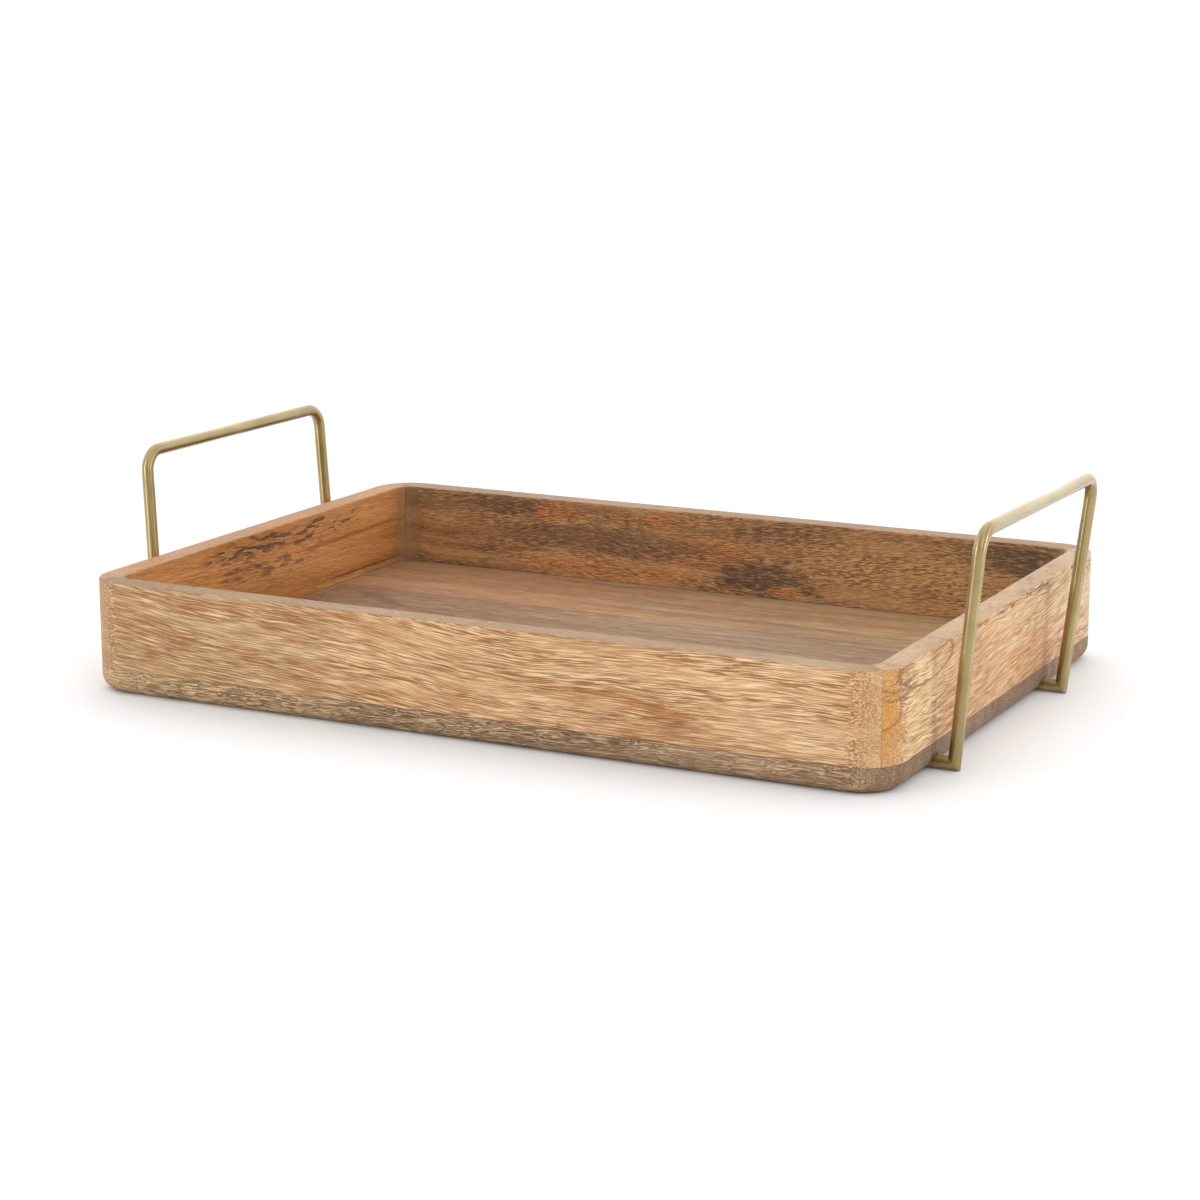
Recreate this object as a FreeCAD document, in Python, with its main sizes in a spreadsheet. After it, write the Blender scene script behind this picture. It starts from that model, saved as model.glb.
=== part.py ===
"""Serving tray: a mitred wooden frame glued on a board of edge-glued staves, with two rod handles.

Millimetres. +X runs along the tray, +Y across it and +Z up. The origin is the middle of the
tray's underside, on the plane that it rests on.
"""
import FreeCAD, Part
import os
import Sketcher

SIZES = {
    # the wooden body
    "tray_length": 400.0,
    "tray_width": 285.0,
    "base_thickness": 12.0,
    "wall_height": 41.0,
    "wall_thickness": 12.0,
    "corner_radius": 20.0,
    "base_edge_radius": 7.5,
    "arris_radius": 0.8,
    # widths of the base's staves, counted from the front; the last stave takes what is left
    "stave_width_a": 49.5,
    "stave_width_b": 66.0,
    "stave_width_c": 45.0,
    "stave_width_d": 44.0,
    "stave_width_e": 43.0,
    # round rod of the handles, and how far its legs stand from the end walls
    "rod_diameter": 5.8,
    "bend_radius": 10.0,
    "stand_off": 8.3,
    "foot_recess": 0.3,
    # each handle is bent by hand, so the two differ a little
    "right_shift": -14.5,
    "right_foot_span": 145.5,
    "right_bar_span": 154.7,
    "right_bar_height": 101.5,
    "right_bar_drop": 1.6,    # how much lower the bar's back end is than its front end
    "right_lean": 5.9,
    "left_shift": 8.6,
    "left_foot_span": 159.6,
    "left_bar_span": 155.2,
    "left_bar_height": 97.4,
    "left_bar_drop": 0.4,
    "left_lean": 3.2,
    # feet: the rod runs in under the board, and its end is pressed flat for two screws
    "foot_run": 26.0,
    "flare_length": 9.0,
    "tongue_length": 28.0,
    "tongue_width": 12.0,
    "tongue_thickness": 2.0,
    "tongue_end_radius": 5.0,
    "groove_clearance": 0.2,
    "screw_pitch": 14.0,
    "screw_setback": 7.0,
    # countersunk wood screws
    "screw_diameter": 3.4,
    "screw_head_diameter": 6.8,
    "screw_head_height": 1.6,
    "screw_length": 10.5,
    "screw_point": 2.5,
    "screw_hole_diameter": 3.8,
    "recess_width": 0.9,
    "recess_span": 3.6,
    "recess_depth": 1.1,
}
STAVE_WIDTHS = ["stave_width_a", "stave_width_b", "stave_width_c", "stave_width_d", "stave_width_e"]
OUTWARD = {"right": 1, "left": -1}    # along X
ACROSS = {"front": -1, "back": 1}     # along Y
TOLERANCE = 0.01                      # for telling edges apart by their place

doc = FreeCAD.newDocument("serving_tray")
sheet = doc.addObject("Spreadsheet::Sheet", "Sizes")
for row, (alias, value) in enumerate(SIZES.items(), start=1):
    sheet.set("A%d" % row, alias)
    sheet.set("B%d" % row, str(value))
    sheet.setAlias("B%d" % row, alias)
doc.recompute()


# ---- helpers ------------------------------------------------------------------------------

def size(alias):
    """A driving dimension, for choosing edges and checking volumes."""
    return float(sheet.get(alias))


def bind(item, **expressions):
    """Ties properties to the sheet; a double underscore in a name stands for a dot."""
    for name, expression in expressions.items():
        item.setExpression(name.replace("__", "."), expression)


def placed(x, y, z, rotation="rotationz(0)"):
    """Expression of a whole placement."""
    return "placement(vector(%s; %s; %s); %s)" % (x, y, z, rotation)


def combine(kind, name, base, tool):
    """Part::Cut or Part::Common of two shapes."""
    result = doc.addObject(kind, name)
    result.Base = base
    result.Tool = tool
    return result


def new_sketch(body, name, role, lift="0"):
    """Sketch on one of the body's own planes, moved along the plane's normal."""
    sketch = body.newObject("Sketcher::SketchObject", name)
    plane = next(item for item in body.Origin.OriginFeatures if item.Role == role)
    sketch.AttachmentSupport = [(plane, "")]
    sketch.MapMode = "FlatFace"
    bind(sketch, AttachmentOffset__Base__z=lift)
    return sketch


def dimension(sketch, name, expression, *constraint):
    """Adds a named dimension to a sketch and ties it to the sheet."""
    index = sketch.addConstraint(Sketcher.Constraint(*constraint))
    sketch.renameConstraint(index, name)
    sketch.setExpression("Constraints." + name, expression)


def add_polygon(sketch, points):
    """Closed polygon through rough points, to be settled by constraints."""
    corners = [FreeCAD.Vector(x, y, 0) for x, y in points]
    count = len(corners)
    for index in range(count):
        sketch.addGeometry(Part.LineSegment(corners[index], corners[(index + 1) % count]))
    for index in range(count):
        sketch.addConstraint(Sketcher.Constraint("Coincident", index, 2, (index + 1) % count, 1))


def add_rectangle(sketch, width, height, bottom):
    """Rectangle centred on the vertical axis, with its lower side at the height `bottom`."""
    add_polygon(sketch, [(-8, 1), (8, 1), (8, 5), (-8, 5)])
    sketch.addConstraint(Sketcher.Constraint("Vertical", 1))
    sketch.addConstraint(Sketcher.Constraint("Symmetric", 0, 1, 0, 2, -2))
    sketch.addConstraint(Sketcher.Constraint("Symmetric", 2, 1, 2, 2, -2))
    dimension(sketch, "wide", width, "DistanceX", 0, 1, 0, 2, 16)
    dimension(sketch, "high", height, "DistanceY", 1, 1, 1, 2, 4)
    dimension(sketch, "low", bottom, "DistanceY", -1, 1, 0, 1, 1)


def add_circle(sketch, diameter, reach=None):
    """Circle at the sketch's origin, or `reach` away from it on the negative horizontal axis."""
    index = sketch.addGeometry(Part.Circle(FreeCAD.Vector(-9 if reach else 0, 0, 0),
                                           FreeCAD.Vector(0, 0, 1), 2))
    dimension(sketch, "diameter%d" % index, diameter, "Diameter", index, 4)
    if reach:
        sketch.addConstraint(Sketcher.Constraint("PointOnObject", index, 3, -1))
        dimension(sketch, "reach%d" % index, reach, "DistanceX", index, 3, -1, 1, 9)
    else:
        sketch.addConstraint(Sketcher.Constraint("Coincident", index, 3, -1, 1))


def pad(body, name, sketch, length, backwards=False):
    feature = body.newObject("PartDesign::Pad", name)
    feature.Profile = sketch
    feature.Reversed = backwards
    bind(feature, Length=length)
    return feature


def pocket(body, name, sketch, length, backwards=False):
    """Pocket that has to take something away."""
    doc.recompute()
    before = body.Shape.Volume
    feature = body.newObject("PartDesign::Pocket", name)
    feature.Profile = sketch
    feature.Reversed = backwards
    bind(feature, Length=length)
    doc.recompute()
    if feature.Shape.Volume > before - TOLERANCE:
        raise RuntimeError(name + " cuts nothing")
    return feature


def dress(kind, body, name, base, chosen, **sizes_):
    """Fillet or chamfer on those edges of a feature whose bounding boxes the test picks."""
    doc.recompute()
    edges = ["Edge%d" % number for number, edge in enumerate(base.Shape.Edges, start=1)
             if chosen(edge.BoundBox)]
    feature = body.newObject(kind, name)
    feature.Base = (base, edges)
    bind(feature, **sizes_)
    return feature


def is_upright(box):
    return box.XLength < TOLERANCE and box.YLength < TOLERANCE


# ---- wooden frame -------------------------------------------------------------------------

def make_ring():
    """The four walls before they are parted: a rounded ring with softened top edges."""
    body = doc.addObject("PartDesign::Body", "WallRing")
    outline = new_sketch(body, "RingOutline", "XY_Plane", "Sizes.base_thickness")
    add_rectangle(outline, "Sizes.tray_length", "Sizes.tray_width", "-Sizes.tray_width / 2")
    solid = pad(body, "RingBlock", outline, "Sizes.wall_height")
    dress("PartDesign::Fillet", body, "RingCorners", solid, is_upright, Radius="Sizes.corner_radius")
    inside = new_sketch(body, "RingInside", "XY_Plane", "Sizes.base_thickness")
    inner_width = "Sizes.tray_width - 2 * Sizes.wall_thickness"
    add_rectangle(inside, "Sizes.tray_length - 2 * Sizes.wall_thickness", inner_width,
                  "-(%s) / 2" % inner_width)
    hollow = pocket(body, "RingHollow", inside, "Sizes.wall_height", backwards=True)
    inner_reach = size("tray_length") / 2 - size("wall_thickness")

    def is_inner_corner(box):
        return is_upright(box) and abs(abs(box.XMin) - inner_reach) < TOLERANCE

    inner = dress("PartDesign::Fillet", body, "RingInnerCorners", hollow, is_inner_corner,
                  Radius="Sizes.corner_radius - Sizes.wall_thickness")
    rim = size("base_thickness") + size("wall_height")
    dress("PartDesign::Fillet", body, "RingArris", inner, lambda box: box.ZMin > rim - TOLERANCE,
          Radius="Sizes.arris_radius")
    return body


def make_mitre_prism(name, length, reach, turn):
    """Prism over one wall: `length` long at the distance `reach`, cut back at 45 degrees."""
    body = doc.addObject("PartDesign::Body", name)
    sketch = new_sketch(body, name + "Outline", "XY_Plane")
    add_polygon(sketch, [(-20, -10), (20, -10), (14, -4), (-14, -4)])
    sketch.addConstraint(Sketcher.Constraint("Symmetric", 0, 1, 0, 2, -2))
    sketch.addConstraint(Sketcher.Constraint("Symmetric", 2, 1, 2, 2, -2))
    dimension(sketch, "length", length, "DistanceX", 0, 1, 0, 2, 40)
    dimension(sketch, "reach", reach, "DistanceY", 0, 1, -1, 1, 10)
    dimension(sketch, "depth", "2 * Sizes.corner_radius", "DistanceY", 0, 2, 1, 2, 6)
    dimension(sketch, "taper", "2 * Sizes.corner_radius", "DistanceX", 1, 2, 0, 2, 6)
    pad(body, name + "Height", sketch, "Sizes.base_thickness + 2 * Sizes.wall_height")
    bind(body, Placement=placed("0", "0", "0", "rotationz(%d)" % turn))
    return body


def make_walls():
    """Front, right, back and left walls, meeting in mitres at the rounded corners."""
    ring = make_ring()
    half_length = "Sizes.tray_length / 2"
    half_width = "Sizes.tray_width / 2"
    walls = []
    for step, side in enumerate(("front", "right", "back", "left")):
        along_x = side in ACROSS
        length = "Sizes.tray_length" if along_x else "Sizes.tray_width"
        prism = make_mitre_prism(side.title() + "Mitre", length, half_width if along_x else half_length,
                                 90 * step)
        wall = combine("Part::Common", side.title() + "Wall", ring, prism)
        wall.Label = side + "_wall"
        walls.append(wall)
    return walls


# ---- handles ------------------------------------------------------------------------------

def corner_x(side, inward="0"):
    """X of a foot's corner, or of a point `inward` of it towards the tray's middle."""
    return "%d * (Sizes.tray_length / 2 + Sizes.stand_off - (%s))" % (OUTWARD[side], inward)


def foot_y(side, end):
    return "Sizes.%s_shift + %d * Sizes.%s_foot_span / 2" % (side, ACROSS[end], side)


ROD_LEVEL = "Sizes.foot_recess + Sizes.rod_diameter / 2"


def facing(side):
    """Rotation that turns a piece made for the right end to its own end."""
    return "rotationz(%d)" % (0 if side == "right" else 180)


def make_mitre_block(name, side, end_y, length, above):
    """Block with one face in the mitre plane, which halves the angle of leg and foot."""
    cutter = doc.addObject("Part::Box", name)
    bind(cutter, Length="6 * Sizes.rod_diameter", Width=length, Height="3 * Sizes.rod_diameter")
    turn = "%s * rotationy(45 + Sizes.%s_lean / 2)" % (facing(side), side)
    lowest = "0" if above else "-3 * Sizes.rod_diameter"
    corner = "(%s) * vector(-3 * Sizes.rod_diameter; -(%s) / 2; %s)" % (turn, length, lowest)
    centre = "vector(%s; %s; %s)" % (corner_x(side), end_y, ROD_LEVEL)
    bind(cutter, Placement="placement(%s + %s; %s)" % (centre, corner, turn))
    return cutter


def make_loop(side):
    """Handle loop: two legs, two bends and the bar in one rod, mitred at the feet."""
    body = doc.addObject("PartDesign::Body", side.title() + "Rod")
    overrun = "Sizes.rod_diameter"
    section = new_sketch(body, side.title() + "RodSection", "XY_Plane", "-" + overrun)
    foot_half = "Sizes.%s_foot_span / 2" % side
    index = section.addGeometry(Part.Circle(FreeCAD.Vector(0, -60, 0), FreeCAD.Vector(0, 0, 1), 2))
    section.addConstraint(Sketcher.Constraint("PointOnObject", index, 3, -2))
    dimension(section, "rod", "Sizes.rod_diameter", "Diameter", index, 4)
    splay = "(Sizes.{0}_bar_span - Sizes.{0}_foot_span) / 2 / Sizes.{0}_bar_height".format(side)
    start = "%s - %s * %s" % (foot_half, splay, overrun)
    dimension(section, "start", start, "DistanceY", index, 3, -1, 1, 60)

    route = new_sketch(body, side.title() + "RodRoute", "YZ_Plane")
    half = size(side + "_foot_span") / 2
    top = size(side + "_bar_height")
    bend = size("bend_radius")
    low = -size("rod_diameter")
    up = FreeCAD.Vector(0, 0, 1)
    ends = [FreeCAD.Vector(-half, low, 0), FreeCAD.Vector(-half, top - bend, 0),
            FreeCAD.Vector(bend - half, top, 0), FreeCAD.Vector(half - bend, top, 0),
            FreeCAD.Vector(half, top - bend, 0), FreeCAD.Vector(half, low, 0)]
    quarter = 1.5707963
    leg_one = route.addGeometry(Part.LineSegment(ends[0], ends[1]))
    bend_one = route.addGeometry(Part.ArcOfCircle(
        Part.Circle(FreeCAD.Vector(bend - half, top - bend, 0), up, bend), quarter, 2 * quarter))
    bar = route.addGeometry(Part.LineSegment(ends[2], ends[3]))
    bend_two = route.addGeometry(Part.ArcOfCircle(
        Part.Circle(FreeCAD.Vector(half - bend, top - bend, 0), up, bend), 0, quarter))
    leg_two = route.addGeometry(Part.LineSegment(ends[4], ends[5]))
    route.addConstraint(Sketcher.Constraint("Tangent", leg_one, 2, bend_one, 2))
    route.addConstraint(Sketcher.Constraint("Tangent", bend_one, 1, bar, 1))
    route.addConstraint(Sketcher.Constraint("Tangent", bar, 2, bend_two, 2))
    route.addConstraint(Sketcher.Constraint("Tangent", bend_two, 1, leg_two, 1))
    route.addConstraint(Sketcher.Constraint("Equal", bend_one, bend_two))
    route.addConstraint(Sketcher.Constraint("Symmetric", leg_one, 1, leg_two, 2, -2))
    dimension(route, "bend", "Sizes.bend_radius", "Radius", bend_one, bend)
    dimension(route, "low", overrun, "DistanceY", leg_one, 1, -1, 1, -low)
    dimension(route, "start", start, "DistanceX", leg_one, 1, -1, 1, half)
    front_end, back_end = ((bar, 1), (bar, 2)) if side == "right" else ((bar, 2), (bar, 1))
    high = "Sizes.%s_bar_height" % side
    dimension(route, "high", high, "DistanceY", -1, 1, *front_end, top)
    dimension(route, "high_back", "%s - Sizes.%s_bar_drop" % (high, side), "DistanceY",
              -1, 1, *back_end, top)
    dimension(route, "splay", "90 deg + atan(%s)" % splay, "Angle", leg_one, quarter)
    dimension(route, "splay_back", "-90 deg - atan(%s)" % splay, "Angle", leg_two, -quarter)

    rod = body.newObject("PartDesign::AdditivePipe", side.title() + "RodSweep")
    rod.Profile = section
    rod.Spine = (route, [])
    rod.Transition = "Transformed"
    turn = "%s * rotationy(Sizes.%s_lean)" % (facing(side), side)
    bind(body, Placement=placed(corner_x(side), "Sizes.%s_shift" % side, ROD_LEVEL, turn))

    length = "Sizes.%s_foot_span + 6 * Sizes.rod_diameter" % side
    cutter = make_mitre_block(side.title() + "LoopMitre", side, "Sizes.%s_shift" % side, length, False)
    loop = combine("Part::Cut", side.title() + "Loop", body, cutter)
    loop.Label = side + "_handle_loop"
    return loop


def make_foot(side, end):
    """Foot of a leg: a rod that runs in under the board and ends in a flat tongue with two holes."""
    name = side.title() + end.title() + "Foot"
    body = doc.addObject("PartDesign::Body", name + "Body")
    circle = new_sketch(body, name + "Section", "YZ_Plane", "Sizes.rod_diameter")
    add_circle(circle, "Sizes.rod_diameter")
    pad(body, name + "Rod", circle, "Sizes.foot_run + Sizes.rod_diameter", backwards=True)

    start = new_sketch(body, name + "FlareStart", "YZ_Plane", "-Sizes.foot_run")
    add_circle(start, "Sizes.rod_diameter")
    finish = new_sketch(body, name + "FlareEnd", "YZ_Plane", "-Sizes.foot_run - Sizes.flare_length")
    add_rectangle(finish, "Sizes.tongue_width", "Sizes.tongue_thickness", "-Sizes.rod_diameter / 2")
    flare = body.newObject("PartDesign::AdditiveLoft", name + "Flare")
    flare.Profile = start
    flare.Sections = [finish]
    flat = new_sketch(body, name + "TongueSection", "YZ_Plane", "-Sizes.foot_run - Sizes.flare_length")
    add_rectangle(flat, "Sizes.tongue_width", "Sizes.tongue_thickness", "-Sizes.rod_diameter / 2")
    tongue = pad(body, name + "Tongue", flat, "Sizes.tongue_length", backwards=True)

    tip = -(size("foot_run") + size("flare_length") + size("tongue_length"))
    rounded = dress("PartDesign::Fillet", body, name + "TongueEnd", tongue,
                    lambda box: is_upright(box) and abs(box.XMin - tip) < TOLERANCE,
                    Radius="Sizes.tongue_end_radius")
    holes = new_sketch(body, name + "Holes", "XY_Plane", "-Sizes.rod_diameter / 2")
    for number in range(2):
        add_circle(holes, "Sizes.screw_hole_diameter", screw_inset(number))
    drilled = pocket(body, name + "Drilling", holes, "Sizes.tongue_thickness", backwards=True)
    bottom = -size("rod_diameter") / 2
    hole = size("screw_hole_diameter")

    def is_hole_mouth(box):
        return box.ZMax < bottom + TOLERANCE and abs(box.XLength - hole) < TOLERANCE \
            and abs(box.YLength - hole) < TOLERANCE

    dress("PartDesign::Chamfer", body, name + "Countersinks", drilled, is_hole_mouth,
          Size="(Sizes.screw_head_diameter - Sizes.screw_hole_diameter) / 2")
    bind(body, Placement=placed(corner_x(side), foot_y(side, end), ROD_LEVEL, facing(side)))
    cutter = make_mitre_block(name + "Mitre", side, foot_y(side, end), "6 * Sizes.rod_diameter", True)
    foot = combine("Part::Cut", name, body, cutter)
    foot.Label = "%s_%s_foot" % (side, end)
    return foot


def screw_inset(number):
    """Distance from a foot's corner to its first or second screw, towards the tray's middle."""
    return ("Sizes.foot_run + Sizes.flare_length + Sizes.screw_setback + %d * Sizes.screw_pitch"
            % number)


def make_screw(name):
    """Countersunk wood screw with a cross recess, standing head down on its own origin."""
    body = doc.addObject("PartDesign::Body", name)
    profile = new_sketch(body, name + "Profile", "XZ_Plane")
    add_polygon(profile, [(0, 0), (3, 0), (1.5, 1.5), (1.5, 8), (0, 10)])
    for line, direction in ((0, "Horizontal"), (2, "Vertical"), (4, "Vertical")):
        profile.addConstraint(Sketcher.Constraint(direction, line))
    profile.addConstraint(Sketcher.Constraint("Coincident", 0, 1, -1, 1))
    dimension(profile, "head", "Sizes.screw_head_diameter / 2", "DistanceX", 0, 1, 0, 2, 3)
    dimension(profile, "neck", "Sizes.screw_head_height", "DistanceY", 0, 2, 1, 2, 1.5)
    dimension(profile, "shank", "Sizes.screw_diameter / 2", "DistanceX", -1, 1, 1, 2, 1.5)
    dimension(profile, "whole", "Sizes.screw_length", "DistanceY", -1, 1, 3, 2, 10)
    dimension(profile, "point", "Sizes.screw_point", "DistanceY", 2, 2, 3, 2, 2)
    turned = body.newObject("PartDesign::Revolution", name + "Turned")
    turned.Profile = profile
    turned.ReferenceAxis = (profile, ["V_Axis"])
    for number, (wide, high) in enumerate((("span", "width"), ("width", "span"))):
        arm = new_sketch(body, "%sArm%d" % (name, number), "XY_Plane")
        add_rectangle(arm, "Sizes.recess_" + wide, "Sizes.recess_" + high,
                      "-Sizes.recess_%s / 2" % high)
        pocket(body, "%sRecess%d" % (name, number), arm, "Sizes.recess_depth", backwards=True)
    return body


def make_screws():
    """Eight screws, two in the tongue of each foot, as one group of separate solids."""
    screws = []
    for side in OUTWARD:
        for end in ACROSS:
            for number in range(2):
                screw = make_screw("%s%sScrew%d" % (side.title(), end.title(), number + 1))
                bind(screw, Placement=placed(corner_x(side, screw_inset(number)), foot_y(side, end),
                                             "Sizes.foot_recess"))
                screws.append(screw)
    group = doc.addObject("Part::Compound", "FootScrews")
    group.Links = screws
    group.Label = "foot_screws"
    return group


# ---- base board ---------------------------------------------------------------------------

def make_board():
    """Rounded board under the walls, its lower edge rounded over, before it is grooved."""
    body = doc.addObject("PartDesign::Body", "BaseBoard")
    outline = new_sketch(body, "BoardOutline", "XY_Plane")
    add_rectangle(outline, "Sizes.tray_length", "Sizes.tray_width", "-Sizes.tray_width / 2")
    solid = pad(body, "BoardBlock", outline, "Sizes.base_thickness")
    rounded = dress("PartDesign::Fillet", body, "BoardCorners", solid, is_upright,
                    Radius="Sizes.corner_radius")
    dress("PartDesign::Fillet", body, "BoardLowerEdge", rounded, lambda box: box.ZMax < TOLERANCE,
          Radius="Sizes.base_edge_radius")
    return body


def make_groove(side, end):
    """What is milled and drilled out of the board for one foot and its screws."""
    name = side.title() + end.title()
    gap = "Sizes.groove_clearance"
    deep = "2 * Sizes.rod_diameter"
    rod_top = "Sizes.foot_recess + Sizes.rod_diameter + " + gap
    tongue_top = "Sizes.foot_recess + Sizes.tongue_thickness"
    flare_start = "Sizes.foot_run - " + gap
    flare_end = "Sizes.foot_run + Sizes.flare_length + " + gap
    tongue_end = flare_end + " + Sizes.tongue_length"
    channels = [
        ("Groove", "0", flare_end, "Sizes.rod_diameter", rod_top),
        ("FlarePocket", flare_start, flare_end, "Sizes.tongue_width", rod_top),
        ("TonguePocket", flare_start, tongue_end, "Sizes.tongue_width", tongue_top),
    ]
    tools = []
    for label, near, far, width, top in channels:
        wide = "(%s + 2 * %s)" % (width, gap)
        tool = doc.addObject("Part::Box", name + label)
        bind(tool, Length="%s - (%s)" % (far, near), Width=wide, Height="%s + %s" % (deep, top))
        offset = "%s * vector(-(%s); -%s / 2; 0)" % (facing(side), far, wide)
        foot = "vector(%s; %s; -%s)" % (corner_x(side), foot_y(side, end), deep)
        bind(tool, Placement="placement(%s + %s; %s)" % (foot, offset, facing(side)))
        tools.append(tool)
    for number in range(2):
        pilot = doc.addObject("Part::Cylinder", "%sPilot%d" % (name, number + 1))
        bind(pilot, Radius="Sizes.screw_diameter / 2", Height="Sizes.screw_length",
             Placement=placed(corner_x(side, screw_inset(number)), foot_y(side, end),
                              "Sizes.foot_recess"))
        tools.append(pilot)
    return tools


def make_staves():
    """The board's staves, running along the tray, cut out of the grooved board."""
    tools = doc.addObject("Part::MultiFuse", "BoardMilling")
    tools.Shapes = [tool for side in OUTWARD for end in ACROSS for tool in make_groove(side, end)]
    board = combine("Part::Cut", "GroovedBoard", make_board(), tools)
    staves = []
    start = "-Sizes.tray_width / 2"
    widths = ["Sizes." + alias for alias in STAVE_WIDTHS]
    widths.append("Sizes.tray_width - (%s)" % " + ".join(widths))
    for number, width in enumerate(widths, start=1):
        strip = doc.addObject("Part::Box", "StaveStrip%d" % number)
        bind(strip, Length="Sizes.tray_length", Width=width, Height="Sizes.base_thickness",
             Placement=placed("-Sizes.tray_length / 2", start, "0"))
        start = "%s + %s" % (start, width)
        stave = combine("Part::Common", "Stave%d" % number, board, strip)
        stave.Label = "base_stave_%d" % number
        staves.append(stave)
    return staves


# ---- build, check and export --------------------------------------------------------------

def check(parts):
    """Stops on any failed object and on any empty or broken shape."""
    for item in doc.Objects:
        if "Invalid" in item.State or "Error" in item.State:
            raise RuntimeError("%s failed: %s" % (item.Name, item.State))
    for part in parts:
        if part.Shape.isNull() or not part.Shape.isValid() or not part.Shape.Solids:
            raise RuntimeError(part.Label + " has no valid solid")


def main():
    parts = make_staves() + make_walls()
    for side in OUTWARD:
        parts.append(make_loop(side))
        parts += [make_foot(side, end) for end in ACROSS]
    parts.append(make_screws())
    doc.recompute()
    check(parts)
    os.makedirs("parts", exist_ok=True)
    for part in parts:
        part.Shape.exportStep(os.path.join("parts", part.Label + ".step"))
        box = part.Shape.BoundBox
        print("%-20s %d solid(s) %10.0f mm3  x %7.1f %7.1f  y %7.1f %7.1f  z %6.1f %6.1f" % (
            part.Label, len(part.Shape.Solids), part.Shape.Volume, box.XMin, box.XMax,
            box.YMin, box.YMax, box.ZMin, box.ZMax))


main()
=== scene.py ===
"""Looks of a wooden serving tray with two brass rod handles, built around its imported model.

Metres, in the model's own frame: +X along the tray, +Y across it, +Z up. Inside the wood
materials, places are in millimetres, because grain, pores and glue lines are.
"""
import math
import bpy
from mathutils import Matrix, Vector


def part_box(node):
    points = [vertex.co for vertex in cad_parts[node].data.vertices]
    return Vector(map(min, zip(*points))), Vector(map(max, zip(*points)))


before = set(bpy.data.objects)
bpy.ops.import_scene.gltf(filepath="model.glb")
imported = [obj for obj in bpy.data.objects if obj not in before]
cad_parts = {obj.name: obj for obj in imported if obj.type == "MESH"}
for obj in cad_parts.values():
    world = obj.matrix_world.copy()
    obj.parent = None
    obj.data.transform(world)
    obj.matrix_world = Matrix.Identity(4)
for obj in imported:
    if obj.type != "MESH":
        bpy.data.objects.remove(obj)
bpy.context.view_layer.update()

MM = 0.001
# places of the colour sockets on Blender's Mix node
MIX_FACTOR = 0
MIX_FIRST = 6
MIX_SECOND = 7
MIX_RESULT = 2
LINE_CORE = 0.35      # share of a line's width that has its full strength
STAVES = ["base_stave_%d" % number for number in range(1, 7)]


def tone(red, green, blue):
    """Colour given as 8-bit sRGB, in the linear values that shaders take."""
    def linear(value):
        part = value / 255
        return part / 12.92 if part <= 0.04045 else ((part + 0.055) / 1.055) ** 2.4
    return (linear(red), linear(green), linear(blue), 1.0)


# ---- node graphs --------------------------------------------------------------------------

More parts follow.
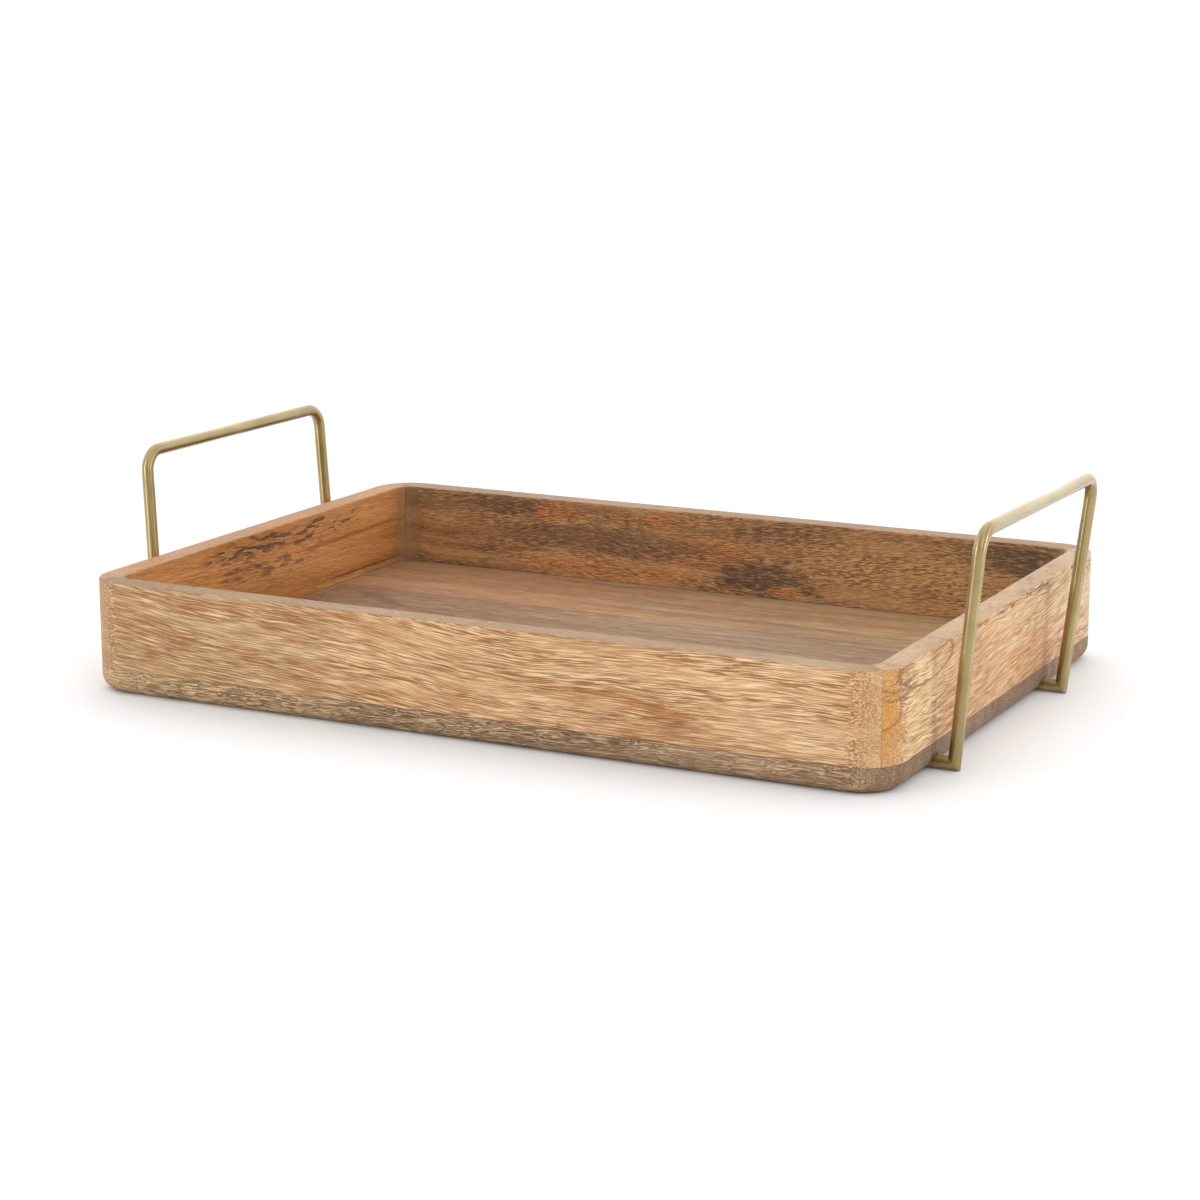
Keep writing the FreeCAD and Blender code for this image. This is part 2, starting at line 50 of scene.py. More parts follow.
class Shader:
    """One node material. Every method takes sockets or plain values and returns a socket."""

    def __init__(self, name):
        self.material = bpy.data.materials.new(name)
        self.material.use_nodes = True
        self.tree = self.material.node_tree
        self.tree.nodes.clear()
        output = self.tree.nodes.new("ShaderNodeOutputMaterial")
        self.surface = self.tree.nodes.new("ShaderNodeBsdfPrincipled")
        self.tree.links.new(self.surface.outputs["BSDF"], output.inputs["Surface"])

    def feed(self, socket, value):
        if isinstance(value, bpy.types.NodeSocket):
            self.tree.links.new(value, socket)
        elif value is not None:
            socket.default_value = value

    def set(self, **inputs):
        """Feeds the surface shader; an underscore in a name stands for a space."""
        for name, value in inputs.items():
            self.feed(self.surface.inputs[name.replace("_", " ")], value)

    def math(self, operation, first, second=None):
        node = self.tree.nodes.new("ShaderNodeMath")
        node.operation = operation
        self.feed(node.inputs[0], first)
        self.feed(node.inputs[1], second)
        return node.outputs[0]

    def add(self, first, *others):
        for other in others:
            first = self.math("ADD", first, other)
        return first

    def times(self, first, *others):
        for other in others:
            first = self.math("MULTIPLY", first, other)
        return first

    def minus(self, first, second):
        return self.math("SUBTRACT", first, second)

    def flip(self, value):
        return self.math("SUBTRACT", 1.0, value)

    def most(self, first, *others):
        for other in others:
            first = self.math("MAXIMUM", first, other)
        return first

    def fade(self, value, low, high):
        """0 at `low`, 1 at `high`, with a soft step between; `low` may be the larger."""
        node = self.tree.nodes.new("ShaderNodeMapRange")
        node.interpolation_type = "SMOOTHSTEP"
        self.feed(node.inputs["Value"], value)
        node.inputs["From Min"].default_value = min(low, high)
        node.inputs["From Max"].default_value = max(low, high)
        node.inputs["To Min"].default_value = 0.0 if low < high else 1.0
        node.inputs["To Max"].default_value = 1.0 if low < high else 0.0
        return node.outputs["Result"]

    def line(self, distance, width):
        """1 where a distance is near zero, fading out at `width`."""
        return self.fade(self.math("ABSOLUTE", distance), width, width * LINE_CORE)

    def vector(self, x, y, z):
        node = self.tree.nodes.new("ShaderNodeCombineXYZ")
        for socket, value in zip(node.inputs, (x, y, z)):
            self.feed(socket, value)
        return node.outputs[0]

    def split(self, vector):
        node = self.tree.nodes.new("ShaderNodeSeparateXYZ")
        self.feed(node.inputs[0], vector)
        return node.outputs[0], node.outputs[1], node.outputs[2]

    def noise(self, vector, detail=2.0, rough=0.5):
        node = self.tree.nodes.new("ShaderNodeTexNoise")
        node.inputs["Scale"].default_value = 1.0
        node.inputs["Detail"].default_value = detail
        node.inputs["Roughness"].default_value = rough
        self.feed(node.inputs["Vector"], vector)
        return node.outputs[0]

    def mix(self, factor, first, second):
        """Blend of two colours, through the sockets that the node keeps for colours."""
        node = self.tree.nodes.new("ShaderNodeMix")
        node.data_type = "RGBA"
        self.feed(node.inputs[MIX_FACTOR], factor)
        self.feed(node.inputs[MIX_FIRST], first)
        self.feed(node.inputs[MIX_SECOND], second)
        return node.outputs[MIX_RESULT]

    def ramp(self, factor, stops):
        node = self.tree.nodes.new("ShaderNodeValToRGB")
        elements = node.color_ramp.elements
        while len(elements) < len(stops):
            elements.new(0.5)
        for element, (place, colour) in zip(elements, stops):
            element.position = place
            element.color = colour
        self.feed(node.inputs[0], factor)
        return node.outputs[0]

    def place(self):
        """The point on the object in millimetres, as three sockets."""
        node = self.tree.nodes.new("ShaderNodeTexCoord")
        x, y, z = self.split(node.outputs["Object"])
        return tuple(self.times(value, 1 / MM) for value in (x, y, z))

    def facing(self):
        """The way a surface faces, as three sockets."""
        node = self.tree.nodes.new("ShaderNodeNewGeometry")
        return self.split(node.outputs["Normal"])

    def bump(self, height, depth):
        """Bump from a height of 0 to 1 that stands for `depth` metres."""
        node = self.tree.nodes.new("ShaderNodeBump")
        node.inputs["Strength"].default_value = 1.0
        node.inputs["Distance"].default_value = depth
        self.feed(node.inputs["Height"], height)
        self.feed(self.surface.inputs["Normal"], node.outputs[0])


# ---- wood ---------------------------------------------------------------------------------

def top_corner(*nodes):
    """Highest corner of some nodes together, in millimetres."""
    return [max(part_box(node)[1][axis] for node in nodes) / MM for axis in range(3)]


# the wooden body, in millimetres from the middle of its underside
HALF_LENGTH, HALF_WIDTH, RIM = top_corner("front_wall", "back_wall", *STAVES)
FLOOR_TOP = top_corner(STAVES[0])[2]
WALL = 12.0           # thickness of the walls
MITRE_LINE = 0.35     # half widths of the glue lines
BOARD_LINE = 0.4

GLUE = tone(92, 62, 40)
RAW_TONE = tone(158, 134, 108)     # wood that sanding doesn't reach
CORNER_SHADE_TONE = tone(150, 118, 86)   # painted shade in the inside corners, beside the mitres

# how the grain wanders: spots of noise in millimetres, as (along, across, into the board)
DRIFT = (150, 70, 70)
WAVE = (34, 14, 14)
SHIVER = (10, 5, 5)
SHIVER_SHARE = 0.35   # reach of the shivers, as a share of the waves'

# spots of the board's slower patterns, in the same order
FIGURE = (170, 13, 40)
CROWD = (60, 8, 20)
RAGGED_RING = (26, 2.2, 6)
RAGGED_MARK = (18, 2.2, 6)
FLECK = (11, 1.9, 5)
UNEVEN_STRIP = (30, 30, 30)

# pores and fibres, as (length in shares of the board's pore_long, width in millimetres)
BROAD = (3.4, 1.5)
MIDDLE = (1.2, 0.42)
THIN = (0.8, 0.28)

# steps of the growth lines' noise
RING_PITCH = 0.25     # for each millimetre across a board of straight grain
ARCH_RINGS = 8.0      # for each whole step of an arch's level
RING_LENGTH = 260     # millimetres along the grain for one step

# depth of the bumps, in metres
PORE_DEPTH = 0.00015
BRUSH_DEPTH = 0.00002
ZINC_DEPTH = 0.00003

# soft steps, as (nothing yet, all of it)
LOOKS_UP = (0.6, 0.95)             # upward part of the way a surface faces
LOOKS_ALONG = (0.2, 0.7)           # the same along the grain, where fibres are cut across
PATCHES = (0.3, 0.7)               # the rest are levels of noise
RINGS = (0.48, 0.66)
CROWDED = (0.34, 0.6)
BROAD_DARK = (0.5, 0.66)
MIDDLE_DARK = (0.53, 0.61)
THIN_DARK = (0.55, 0.64)
PALE_FIBRE = (0.46, 0.34)
FLECKS = (0.52, 0.57)
MARK_EDGE = (1.25, 0.7)            # distance from a mark's middle, 1 being its half size
INSIDE_WALL = (WALL - 1, WALL + 0.5)          # millimetres in from the outside
BESIDE_MITRE = (2 * WALL + 2, 1.4 * WALL)
RIM_HEIGHT = (RIM - 2.0, RIM - 0.8)
RAW_STRIP = (5.6, 4.6)                        # millimetres from the foot of the walls
DARK_JOINT = (0.9, 0.2)

# strength of the joints' colours, and of the painted shade in the inside corners
CORNER_SHADE_STRENGTH = 0.55
RIM_STRENGTH = 0.7
RAW_STRENGTH = 0.35
JOINT_STRENGTH = 0.6
GLUE_STRENGTH = 0.4


def mark(along, across, long, wide, colour, strength=1.0, kind="whole", turn=0.0):
    """A coloured figure in a board: a ragged oval that is whole, broken in flecks or hollow.

    `along` and `across` are its middle and `long` and `wide` its half sizes, in millimetres of
    the board's own u and v. `turn` is in radians.
    """
    return dict(along=along, across=across, long=long, wide=wide, colour=colour,
                strength=strength, kind=kind, turn=turn)


class Grain:
    """Coordinates of one board: u along the grain, v across its face, w into it."""

    def __init__(self, shader, axes, seed, slope, sweep, wander, ripple):
        self.shader = shader
        self.seed = seed
        self.x, self.y, self.z = place = shader.place()
        self.u, self.v, self.w = (place["xyz".index(letter)] for letter in axes)
        self.course = self.v
        drift = self.noise(DRIFT, 0.0, 1.0)
        wave = self.noise(WAVE, 7.0, 1.0)
        shiver = self.noise(SHIVER, 8.0, 1.0)
        early = shader.math("MINIMUM", self.u, 0.0)
        # the course of the fibres is v with a slope, more slope where u is negative, and wander
        self.course = shader.add(self.v, shader.times(self.u, -slope), shader.times(early, -sweep),
                                 self.swing(drift, wander), self.swing(wave, ripple),
                                 self.swing(shiver, SHIVER_SHARE * ripple))

    def swing(self, noise, reach):
        """Noise around its middle of 0.5, as millimetres to either side."""
        return self.shader.times(self.shader.minus(noise, 0.5), 2 * reach)

    def noise(self, spots, shift, detail=2.0, rough=0.55):
        """Noise with spots of the given length, width and depth in millimetres."""
        shader = self.shader
        long, wide, deep = spots
        point = shader.vector(shader.add(shader.times(self.u, 1 / long), self.seed + shift),
                              shader.times(self.course, 1 / wide),
                              shader.add(shader.times(self.w, 1 / deep), self.seed))
        return shader.noise(point, detail, rough)


def fine(spot, pore_long):
    """Spots of the pores or fibres of a board, which are round in section."""
    share, width = spot
    return (share * pore_long, width, width)


def add_growth(shader, grain, colour, arch, ring, ring_tone):
    """Growth lines: straight with the grain, or nested arches of a board cut off centre.

    `arch` is the tip, the middle, the half height and the length of the outermost arch, in
    millimetres. `level` is 0 on that arch, negative inside it and positive outside.
    """
    if arch:
        tip, middle, half_height, length = arch
        bow = shader.times(shader.minus(grain.course, middle), 1 / half_height)
        level = shader.add(shader.times(bow, bow),
                           shader.times(shader.minus(grain.u, tip), 1 / length))
        level = shader.add(level, grain.swing(grain.noise(RAGGED_RING, 12.0, 3.0, 0.65), 0.05))
        near_tip = shader.fade(grain.u, tip - length, tip - 0.1 * length)
        core = shader.times(shader.fade(level, 0.02, -0.03), shader.fade(level, -0.42, -0.08),
                            shader.fade(grain.u, tip - 0.35 * length, tip - 0.12 * length))
        colour = shader.mix(shader.times(core, 1.1 * ring), colour, ring_tone)
        outline = shader.times(shader.line(level, 0.07),
                               shader.add(0.5, shader.times(near_tip, 0.5)))
        colour = shader.mix(shader.times(outline, 2.4 * ring), colour, ring_tone)
        growth = shader.times(level, ARCH_RINGS)
    else:
        growth = shader.times(grain.course, RING_PITCH)
    point = shader.vector(growth, shader.times(grain.u, 1 / RING_LENGTH), grain.seed)
    rings = shader.noise(point, 3.0, 0.6)
    return shader.mix(shader.times(shader.fade(rings, *RINGS), ring), colour, ring_tone)


def add_mark(shader, grain, colour, item, number):
    """One coloured figure, feathered along the grain."""
    du = shader.minus(grain.u, item["along"])
    dv = shader.minus(grain.v, item["across"])
    cos, sin = math.cos(item["turn"]), math.sin(item["turn"])
    along = shader.times(shader.add(shader.times(du, cos), shader.times(dv, sin)),
                         1 / item["long"])
    across = shader.times(shader.minus(shader.times(dv, cos), shader.times(du, sin)),
                          1 / item["wide"])
    reach = shader.math("SQRT", shader.add(shader.times(along, along),
                                           shader.times(across, across)))
    ragged = shader.minus(grain.noise(RAGGED_MARK, number + 3.0, 4.0, 0.75), 0.5)
    if item["kind"] == "hollow":
        cover = shader.line(shader.add(shader.minus(reach, 1.0), shader.times(ragged, 0.4)), 0.08)
    else:
        cover = shader.fade(shader.add(reach, shader.times(ragged, 2.8)), *MARK_EDGE)
    if item["kind"] == "broken":
        bits = grain.noise(FLECK, number + 11.0, 2.0, 0.6)
        cover = shader.times(cover, shader.fade(bits, *FLECKS))
    return shader.mix(shader.times(cover, item["strength"]), colour, item["colour"])


def wood(name, axes, seed, tones, marks=(), slope=0.0, sweep=0.0, wander=8.0, ripple=1.6,
         arch=None, ring=0.3, ring_tone=tone(176, 122, 76), line=0.8,
         line_tone=tone(158, 106, 64), light_tone=tone(238, 208, 164), pore_long=14.0,
         light=0.4, top_line=0.5, rim_tone=tone(180, 146, 116), is_wall=True):
    """Solid wood. The pattern fills the board, so rounded corners cut across the grain.

    `axes` names the tray's axes along the grain, across the board's face and into it. `ring`,
    `line` and `light` are the strengths of the growth lines, the dark pores and the pale
    fibres, and `top_line` is what is left of the last two on faces that look up.
    """
    shader = Shader(name)
    grain = Grain(shader, axes, seed, slope, sweep, wander, ripple)
    facing = shader.facing()
    up = shader.fade(facing[2], *LOOKS_UP)
    along = facing["xyz".index(axes[0])]
    cut_across = shader.fade(shader.math("ABSOLUTE", along), *LOOKS_ALONG)

    # slow changes of colour, growth lines and the board's own figures
    figure = grain.noise(FIGURE, 0.5, 4.0, 0.6)
    colour = shader.ramp(shader.fade(figure, *PATCHES), tones)
    colour = add_growth(shader, grain, colour, arch, ring, ring_tone)
    for number, item in enumerate(marks):
        colour = add_mark(shader, grain, colour, item, number)

    # open pores, which show as dashes along the grain and as dots across it, and pale fibres
    crowd = shader.fade(grain.noise(CROWD, 2.0), *CROWDED)
    crowd = shader.add(0.55, shader.times(crowd, 0.45))
    broad = grain.noise(fine(BROAD, pore_long), 6.0, 2.0, 0.6)
    middle = grain.noise(fine(MIDDLE, pore_long), 1.0, 1.0, 0.5)
    thin = grain.noise(fine(THIN, pore_long), 4.0, 0.0)
    pores = shader.most(shader.fade(middle, *MIDDLE_DARK), shader.fade(thin, *THIN_DARK))
    pores = shader.times(pores, crowd)
    fibres = shader.add(shader.times(shader.fade(middle, *PALE_FIBRE), 0.85),
                        shader.times(shader.fade(broad, *PALE_FIBRE), 0.15))
    calm = shader.times(shader.flip(shader.times(up, 1.0 - top_line)),
                        shader.flip(shader.times(cut_across, 0.45)))
    colour = shader.mix(shader.times(shader.fade(broad, *BROAD_DARK), calm, 0.14 * line),
                        colour, line_tone)
    colour = shader.mix(shader.times(fibres, calm, light), colour, light_tone)
    colour = shader.mix(shader.times(pores, calm, line), colour, line_tone)

    # joints: mitres at the corners, and the glue line between walls and board; on the walls also
    # painted shade in the inside corners
    near_end = shader.minus(HALF_LENGTH, shader.math("ABSOLUTE", grain.x))
    near_side = shader.minus(HALF_WIDTH, shader.math("ABSOLUTE", grain.y))
    seam = shader.line(shader.minus(grain.z, FLOOR_TOP), BOARD_LINE)
    if is_wall:
        # painted shade: the inner faces are darkened towards the inside corners, beside the mitres
        inner = shader.times(shader.fade(near_end, *INSIDE_WALL),
                             shader.fade(near_side, *INSIDE_WALL))
        corner = shader.fade(shader.math("MAXIMUM", near_end, near_side), *BESIDE_MITRE)
        colour = shader.mix(shader.times(inner, corner, CORNER_SHADE_STRENGTH), colour, CORNER_SHADE_TONE)
        rim = shader.times(up, shader.fade(grain.z, *RIM_HEIGHT))
        colour = shader.mix(shader.times(rim, RIM_STRENGTH), colour, rim_tone)
        seam = shader.most(seam, shader.line(shader.minus(near_end, near_side), MITRE_LINE))
        colour = shader.mix(shader.times(seam, GLUE_STRENGTH), colour, GLUE)
    else:
        # a strip along the walls that sanding doesn't reach, and the dark joint beside it
        edge = shader.math("MINIMUM", shader.minus(near_end, WALL), shader.minus(near_side, WALL))
        uneven = shader.times(grain.noise(UNEVEN_STRIP, 9.0), 3.0)
        strip = shader.times(up, shader.fade(shader.add(edge, uneven), *RAW_STRIP))
        colour = shader.mix(shader.times(strip, RAW_STRENGTH), colour, RAW_TONE)
        dark = shader.times(up, shader.fade(edge, *DARK_JOINT))
        colour = shader.mix(shader.times(dark, JOINT_STRENGTH), colour, GLUE)
        outside = shader.times(seam, shader.flip(up))
        colour = shader.mix(shader.times(outside, GLUE_STRENGTH), colour, GLUE)

    shader.set(Base_Color=colour, Specular_IOR_Level=0.35,
               Roughness=shader.add(0.48, shader.times(pores, 0.25), shader.times(figure, 0.1)))
    height = shader.add(shader.times(broad, 0.3), shader.times(shader.flip(pores), 0.7))
    shader.bump(height, PORE_DEPTH)
    return shader.material


CHAR = tone(74, 62, 56)
BARK = tone(112, 88, 66)
AMBER = tone(204, 134, 72)
RUST = tone(176, 100, 58)
OLIVE = tone(160, 136, 102)


def wall_materials():
    """Woods of the four walls. Their marks are placed by x or y along and by height across."""
    pale = [(0.0, tone(196, 148, 98)), (0.5, tone(214, 172, 122)), (1.0, tone(226, 188, 140))]
    materials = {}
    materials["front_wall"] = wood(
        "front_wall_wood", "xzy", 3.1, pale,
        [mark(-190, 30, 130, 60, OLIVE, 0.5), mark(-90, 48, 70, 3, RUST, 0.3),
         mark(160, 30, 50, 40, tone(236, 202, 156), 0.5),
         mark(186, 40, 10, 24, tone(206, 156, 98), 0.5),
         mark(-152, 25, 1.6, 1.0, CHAR, 0.7), mark(49, 14, 1.2, 1.8, CHAR, 0.6)],
        sweep=-0.09, ripple=1.1, arch=(112, 22, 26, 250), ring=0.28, ring_tone=tone(182, 122, 74),
        line=0.95, line_tone=tone(152, 96, 52), light_tone=tone(248, 222, 180), light=0.48,
        rim_tone=tone(140, 114, 86))
    materials["right_wall"] = wood(
        "right_wall_wood", "yzx", 8.7,
        [(0.0, tone(200, 152, 104)), (0.5, tone(216, 174, 126)), (1.0, tone(226, 192, 148))],
        # painted light: this pale patch on the front part of the right wall stands for light falling
        # from the right
        [mark(-105, 34, 22, 20, tone(244, 210, 156), 0.9),
         mark(-136, 30, 9, 30, tone(212, 154, 84), 0.75),
         mark(-134, 34, 4, 12, tone(222, 156, 52), 0.6),
         mark(60, 26, 60, 8, tone(218, 154, 102), 0.5),
         mark(-100, 49, 30, 8, tone(128, 88, 56), 0.8, "hollow"),
         mark(-140, 36, 12, 9, tone(140, 92, 52), 0.6, "hollow"),
         mark(-122, 42, 12, 5, CHAR, 0.6, "broken"),
         mark(120, 30, 50, 40, tone(232, 210, 174), 0.6),
         mark(25, 51.5, 90, 1.6, BARK, 0.9, "broken")],
        slope=0.06, line=0.85, line_tone=tone(158, 104, 60), light_tone=tone(250, 224, 184),
        light=0.48)
    materials["back_wall"] = wood(
        "back_wall_wood", "xzy", 14.3,
        [(0.0, tone(162, 118, 78)), (0.5, tone(194, 144, 95)), (1.0, tone(214, 166, 111))],
        [mark(-96, 46, 18, 5, AMBER, 0.9), mark(-74, 36, 9, 3, AMBER, 0.8),
         mark(-35, 47, 10, 3, AMBER, 1.0), mark(-60, 18, 55, 6, tone(208, 144, 84), 0.95),
         mark(-5, 32, 22, 9, tone(206, 138, 78), 0.85), mark(28, 22, 30, 9, tone(84, 64, 50), 0.85),
         mark(38, 16, 9, 3, AMBER, 0.9), mark(95, 32, 60, 16, tone(198, 152, 98), 0.7),
         mark(-60, 34, 60, 7, tone(98, 74, 54), 0.6), mark(-126, 48, 24, 5, tone(98, 76, 56), 0.7),
         mark(-130, 34, 34, 14, tone(142, 98, 62), 0.5),
         mark(168, 44, 30, 8, tone(90, 78, 64), 0.8)],
        wander=16.0, ripple=1.6, pore_long=4.5, line=0.7, line_tone=tone(78, 56, 38),
        light_tone=tone(214, 170, 120), ring_tone=tone(92, 66, 46), light=0.5,
        rim_tone=tone(160, 132, 102))
    materials["left_wall"] = wood(
        "left_wall_wood", "yzx", 21.9,
        [(0.0, tone(180, 116, 62)), (0.5, tone(202, 138, 76)), (1.0, tone(216, 154, 92))],
        [mark(0, 47, 62, 4, CHAR, 1.0, "broken"), mark(45, 42, 30, 4, CHAR, 0.9, "broken"),
         mark(-25, 44, 34, 3, CHAR, 1.0, "broken"), mark(-45, 37, 34, 6, CHAR, 0.8, "broken"),
         mark(0, 33, 40, 6, CHAR, 0.7, "broken"),
         mark(-90, 30, 50, 14, tone(230, 160, 76), 0.6), mark(80, 36, 60, 1.2, RUST, 0.9),
         mark(76, 13.2, 44, 2.0, tone(214, 160, 88), 0.55), mark(82, 15.6, 40, 0.6, CHAR, 0.9)],
        slope=-0.04, pore_long=9.0, line=0.45, line_tone=tone(146, 88, 44),
        light_tone=tone(226, 168, 100), ring_tone=tone(160, 98, 52), light=0.3,
        rim_tone=tone(176, 138, 104))
    return materials


def stave_materials():
    """Woods of the board's staves, whose marks are placed by x along and by y across."""
    taupe = [(0.0, tone(148, 116, 84)), (0.5, tone(168, 136, 102)), (1.0, tone(182, 150, 116))]
    warm = [(0.0, tone(160, 120, 86)), (0.5, tone(178, 140, 102)), (1.0, tone(194, 154, 116))]
    red = [(0.0, tone(150, 108, 80)), (0.5, tone(170, 130, 98)), (1.0, tone(190, 154, 122))]
    sunny = tone(168, 114, 76)
    streaks = {
        "base_stave_1": [mark(-190, -142, 120, 60, tone(204, 168, 122), 0.7),
                         mark(-40, -130, 60, 5, tone(120, 96, 76), 0.5)],
        "base_stave_2": [mark(-170, -60, 100, 60, tone(150, 116, 86), 0.5),
                         mark(160, -25, 14, 4, tone(112, 74, 52), 0.7, "hollow")],
        "base_stave_3": [mark(-170, 0, 110, 50, tone(136, 98, 68), 0.7),
                         mark(30, 14, 26, 3, tone(112, 86, 66), 0.5)],
        "base_stave_4": [mark(-150, 44, 120, 40, tone(142, 98, 66), 0.7),
                         mark(-152, 42, 22, 4, tone(100, 76, 58), 0.7, "whole", -0.5)],
        "base_stave_5": [mark(-140, 84, 110, 40, sunny, 0.65), mark(-20, 66, 36, 3.5, AMBER, 0.55),
                         mark(64, 100, 60, 4, AMBER, 0.35)],
        "base_stave_6": [mark(-150, 124, 110, 40, sunny, 0.5), mark(111, 130, 5, 2, RUST, 0.8),
                         mark(-8, 118, 26, 10, tone(190, 112, 66), 0.7, "hollow")],
    }
    # painted shade: the staves' end faces at the right end of the tray are darkened to stand for
    # contact shadow
    painted_end_shade = mark(208, 0, 14, 400, tone(104, 82, 66), 0.55)
    dusk = [(0.0, tone(138, 106, 76)), (0.5, tone(156, 124, 92)), (1.0, tone(170, 138, 106))]
    plans = [(taupe, 31.0), (red, 37.3), (dusk, 41.9), (dusk, 47.2), (warm, 53.8), (warm, 59.1)]
    materials = {}
    for node, (tones, seed) in zip(STAVES, plans):
        materials[node] = wood(node + "_wood", "xyz", seed, tones, streaks[node] + [painted_end_shade],
                               wander=10.0, ripple=2.4, ring=0.35, ring_tone=tone(122, 94, 70),
                               line=0.82, line_tone=tone(94, 70, 48), light_tone=tone(238, 210, 164),
                               pore_long=10.0, light=0.65, top_line=0.35, is_wall=False)
    return materials


# ---- metal --------------------------------------------------------------------------------

def brass():
    shader = Shader("satin_brass")
    x, y, z = shader.place()
    cloud = shader.noise(shader.vector(shader.times(x, 0.06), shader.times(y, 0.06),
                                       shader.times(z, 0.06)), 3.0)
    brushed = shader.noise(shader.vector(shader.times(x, 2.5), shader.times(y, 2.5),
                                         shader.times(z, 0.12)), 3.0, 0.65)
    colour = shader.ramp(shader.fade(cloud, 0.3, 0.7),
                         [(0.0, tone(160, 140, 92)), (1.0, tone(176, 156, 106))])
    shader.set(Base_Color=colour, Metallic=1.0, Anisotropic=0.95, Anisotropic_Rotation=0.25,
               Coat_Weight=0.6, Coat_Roughness=0.1,
               Roughness=shader.add(0.24, shader.times(brushed, 0.14), shader.times(cloud, 0.06)))
    shader.bump(brushed, BRUSH_DEPTH)
    return shader.material


def zinc():
    shader = Shader("zinc_plate")
    x, y, z = shader.place()
    cloud = shader.noise(shader.vector(x, y, z), 3.0)
    colour = shader.ramp(cloud, [(0.3, tone(176, 172, 158)), (0.7, tone(206, 204, 196))])
    shader.set(Base_Color=colour, Metallic=1.0, Roughness=shader.add(0.3, shader.times(cloud, 0.2)))
    shader.bump(cloud, ZINC_DEPTH)
    return shader.material


def dress_nodes():
    looks = {**wall_materials(), **stave_materials(), "foot_screws": zinc()}
    metal = brass()
    for node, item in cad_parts.items():
        item.data.materials.clear()
        item.data.materials.append(looks.get(node, metal))


# ---- studio -------------------------------------------------------------------------------

ROOM_LIGHT = 1.64
DIM_SIDE = (0.42, -0.9, -0.35)     # direction of the dimmest part of the room
# how bright the room is, from the side opposite that one, at 0, to the dimmest part, at 1
ROOM_STEPS = [(0.0, 1.0), (0.3, 0.74), (0.52, 0.52), (0.84, 0.48), (0.96, 0.06)]
PAPER = (0.855, 0.865, 0.88, 1)
FLOOR_REACH = 30.0                 # metres from the tray to the paper's edges

# the camera's place was found by fitting the tray's edges in the photograph, in metres and degrees
CAMERA_PLACE = (0.5984, -1.19632, 0.33882)
CAMERA_DOWN = 12.806
CAMERA_TURN = 26.681
LENS = 86.22                       # millimetres
SENSOR = 36.0


def make_floor():
    """Pale paper that is open under the tray and clear from below, so the underside shows."""
    shader = Shader("studio_paper")
    shader.set(Base_Color=PAPER, Roughness=0.8)
    tree = shader.tree
    geometry = tree.nodes.new("ShaderNodeNewGeometry")
    clear = tree.nodes.new("ShaderNodeBsdfTransparent")
    either = tree.nodes.new("ShaderNodeMixShader")
    tree.links.new(geometry.outputs["Backfacing"], either.inputs[0])
    tree.links.new(shader.surface.outputs["BSDF"], either.inputs[1])
    tree.links.new(clear.outputs["BSDF"], either.inputs[2])
    tree.links.new(either.outputs[0], tree.nodes["Material Output"].inputs["Surface"])

    inner = ((HALF_LENGTH - WALL) * MM, (HALF_WIDTH - WALL) * MM)
    corners = [(-1, -1), (1, -1), (1, 1), (-1, 1)]
    points = [(x * FLOOR_REACH, y * FLOOR_REACH, 0) for x, y in corners]
    points += [(x * inner[0], y * inner[1], 0) for x, y in corners]
    sides = [(side, (side + 1) % 4, (side + 1) % 4 + 4, side + 4) for side in range(4)]
    mesh = bpy.data.meshes.new("studio_floor")
    mesh.from_pydata(points, [], sides)
    mesh.materials.append(shader.material)
    floor = bpy.data.objects.new("studio_floor", mesh)
    bpy.context.scene.collection.objects.link(floor)


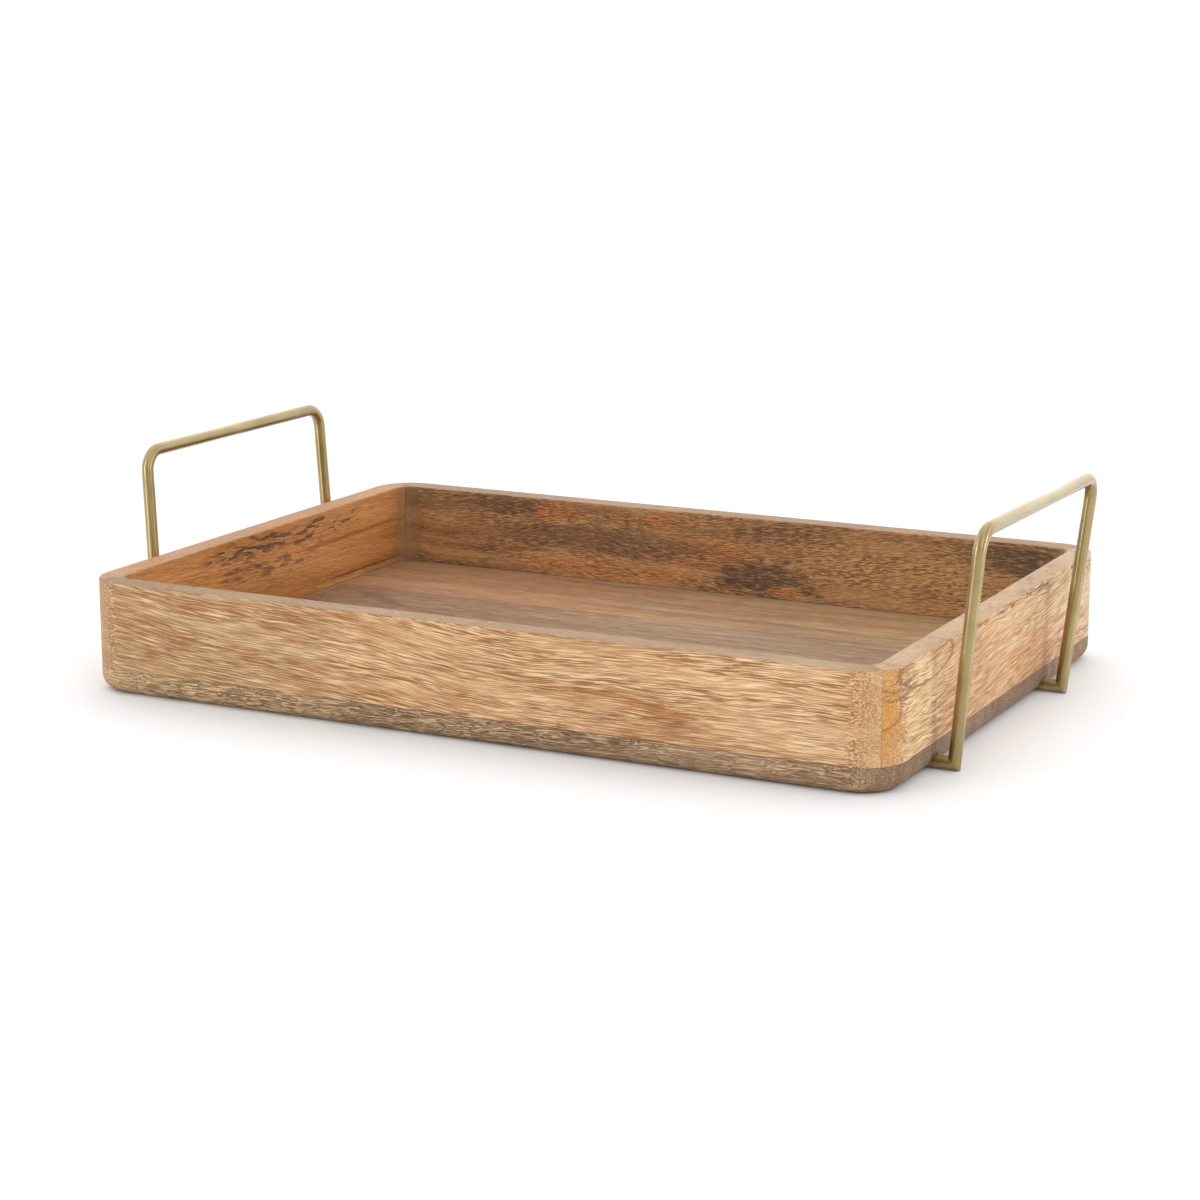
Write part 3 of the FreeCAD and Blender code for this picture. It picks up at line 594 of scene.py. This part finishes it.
def add_panel(name, place, target, width, height, power):
    """Soft rectangular light; its place and size are in metres and its power in watts."""
    light = bpy.data.lights.new(name, "AREA")
    light.shape = "RECTANGLE"
    light.size = width
    light.size_y = height
    light.energy = power
    item = bpy.data.objects.new(name, light)
    bpy.context.scene.collection.objects.link(item)
    item.location = place
    direction = [goal - start for goal, start in zip(target, place)]
    flat = math.hypot(direction[0], direction[1])
    item.rotation_euler = (math.atan2(flat, -direction[2]), 0,
                           math.atan2(direction[1], direction[0]) - math.pi / 2)


def make_world():
    """White studio all round, with the dimmer side of the room in front of the tray."""
    world = bpy.data.worlds.new("studio")
    world.use_nodes = True
    tree = world.node_tree
    background = tree.nodes["Background"]
    coordinates = tree.nodes.new("ShaderNodeTexCoord")
    toward = tree.nodes.new("ShaderNodeVectorMath")
    toward.operation = "DOT_PRODUCT"
    toward.inputs[1].default_value = DIM_SIDE
    level = tree.nodes.new("ShaderNodeMapRange")
    level.inputs["From Min"].default_value = -1.0
    shade = tree.nodes.new("ShaderNodeValToRGB")
    while len(shade.color_ramp.elements) < len(ROOM_STEPS):
        shade.color_ramp.elements.new(0.5)
    for element, (spot, grey) in zip(shade.color_ramp.elements, ROOM_STEPS):
        element.position = spot
        element.color = (grey, grey, grey, 1)
    tree.links.new(coordinates.outputs["Generated"], toward.inputs[0])
    tree.links.new(toward.outputs["Value"], level.inputs["Value"])
    tree.links.new(level.outputs["Result"], shade.inputs["Fac"])
    tree.links.new(shade.outputs["Color"], background.inputs["Color"])
    background.inputs["Strength"].default_value = ROOM_LIGHT
    bpy.context.scene.world = world


def make_lights():
    middle = (0, 0, 0.03)
    add_panel("overhead", (0.1, -0.2, 1.7), middle, 1.4, 1.4, 2)
    add_panel("side_right", (1.3, 0.15, 0.33), middle, 0.34, 0.6, 2.8)
    add_panel("front_left", (-0.85, -1.4, 0.4), middle, 0.4, 0.76, 6)
    add_panel("front_right", (1.3, -1.2, 1.1), middle, 0.8, 0.8, 4.5)


def make_camera():
    camera = bpy.data.cameras.new("camera")
    camera.sensor_width = SENSOR
    camera.lens = LENS
    item = bpy.data.objects.new("camera", camera)
    bpy.context.scene.collection.objects.link(item)
    item.location = CAMERA_PLACE
    item.rotation_euler = (math.radians(90 - CAMERA_DOWN), 0, math.radians(CAMERA_TURN))
    bpy.context.scene.camera = item


dress_nodes()
make_floor()
make_world()
make_lights()
make_camera()
bpy.context.scene.view_settings.view_transform = "Standard"
